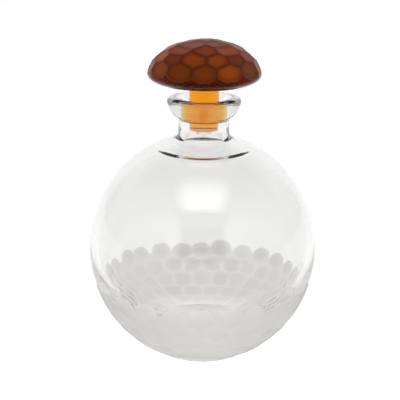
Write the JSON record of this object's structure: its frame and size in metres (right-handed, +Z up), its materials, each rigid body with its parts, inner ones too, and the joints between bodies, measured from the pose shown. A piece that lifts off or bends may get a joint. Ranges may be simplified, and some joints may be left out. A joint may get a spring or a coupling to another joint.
{
  "type": "stoppered scent bottle",
  "caption": "Clear glass globe scent bottle with a frosted, facet-cut lower half, flared lip and a lift-out amber glass stopper under a facet-cut mushroom head.",
  "frame": {"origin": "centre of the flat ground base that the bottle stands on", "axes": "+Z up along the bottle's axis, towards the stopper; +X to the right seen from the front"},
  "size_m": [0.1, 0.1, 0.1387],
  "materials": {
    "clear_glass": "polished, frosted on the cut lower half",
    "amber_head_glass": "satin cut facets over a polished underside",
    "amber_plug_glass": "ground"
  },
  "bodies": {
    "bottle": {"bottle": "clear_glass"},
    "stopper": {"stopper_head": "amber_head_glass", "stopper_plug": "amber_plug_glass"}
  },
  "joints": [
    {"name": "stopper_lift", "type": "slide", "parent": "bottle", "child": "stopper", "axis": [0, 0, 1], "range_m": [0, 0.04]}
  ]
}
